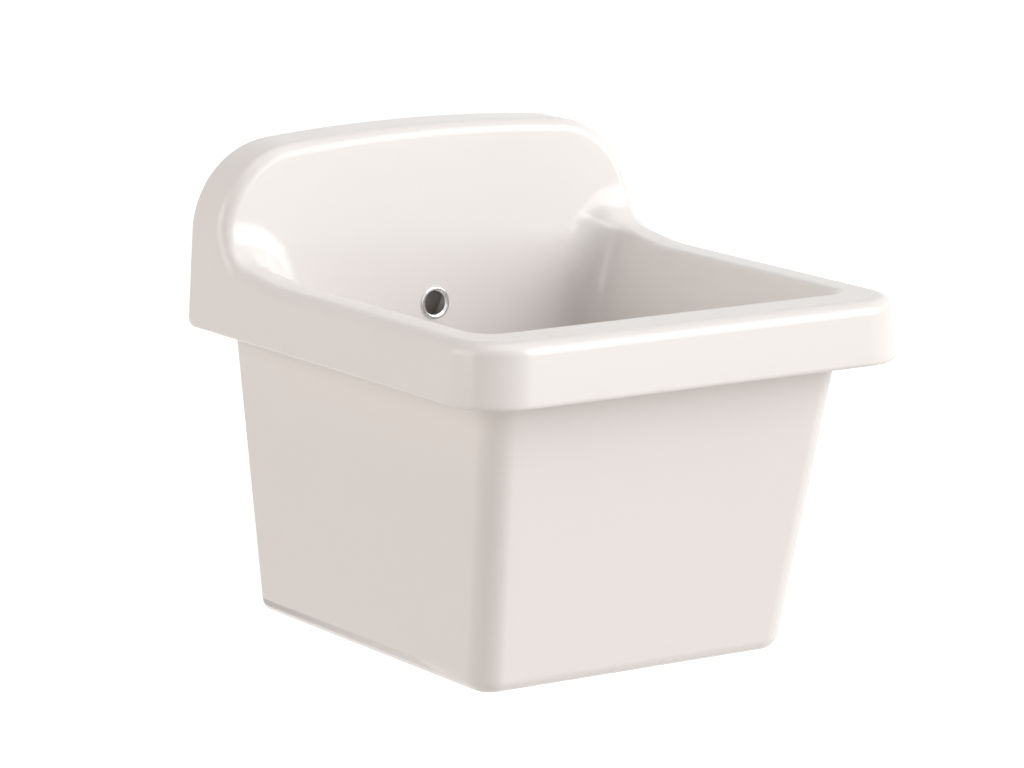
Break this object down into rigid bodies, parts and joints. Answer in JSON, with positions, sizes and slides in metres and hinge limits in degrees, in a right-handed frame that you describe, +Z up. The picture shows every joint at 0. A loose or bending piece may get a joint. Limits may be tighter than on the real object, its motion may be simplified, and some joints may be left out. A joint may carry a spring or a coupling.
{
  "type": "laundry sink",
  "caption": "Wall-hung ceramic laundry sink with a deep tapered bowl, a raised rounded back, an overflow hole and a push-to-close waste.",
  "frame": {"origin": "on the wall plane, midway between the two wall bolt holes, 60 mm below the rim", "axes": "+X to the right of someone at the sink, +Y into the wall, +Z up"},
  "size_m": [0.4496, 0.4898, 0.4829],
  "materials": {
    "ceramic": "gloss",
    "chrome": "polished",
    "rubber": "matte",
    "nylon": "satin",
    "brass": "satin",
    "spring_steel": "satin"
  },
  "bodies": {
    "sink": {"basin": "ceramic", "overflow_ring": "chrome", "waste_body": "chrome", "tailpiece": "chrome", "flange_seal": "rubber", "under_seal": "rubber", "slip_washer": "nylon", "back_nut": "brass", "cartridge": "brass", "cartridge_nut": "brass", "end_plug": "brass", "latch_spring": "spring_steel"},
    "plug": {"plug_cap": "chrome", "plug_seal": "rubber", "plunger": "brass"}
  },
  "joints": [
    {"name": "plug_slide", "type": "slide", "parent": "sink", "child": "plug", "axis": [0, 0, 1], "range_m": [0, 0.008], "deforming": ["latch_spring"]}
  ]
}
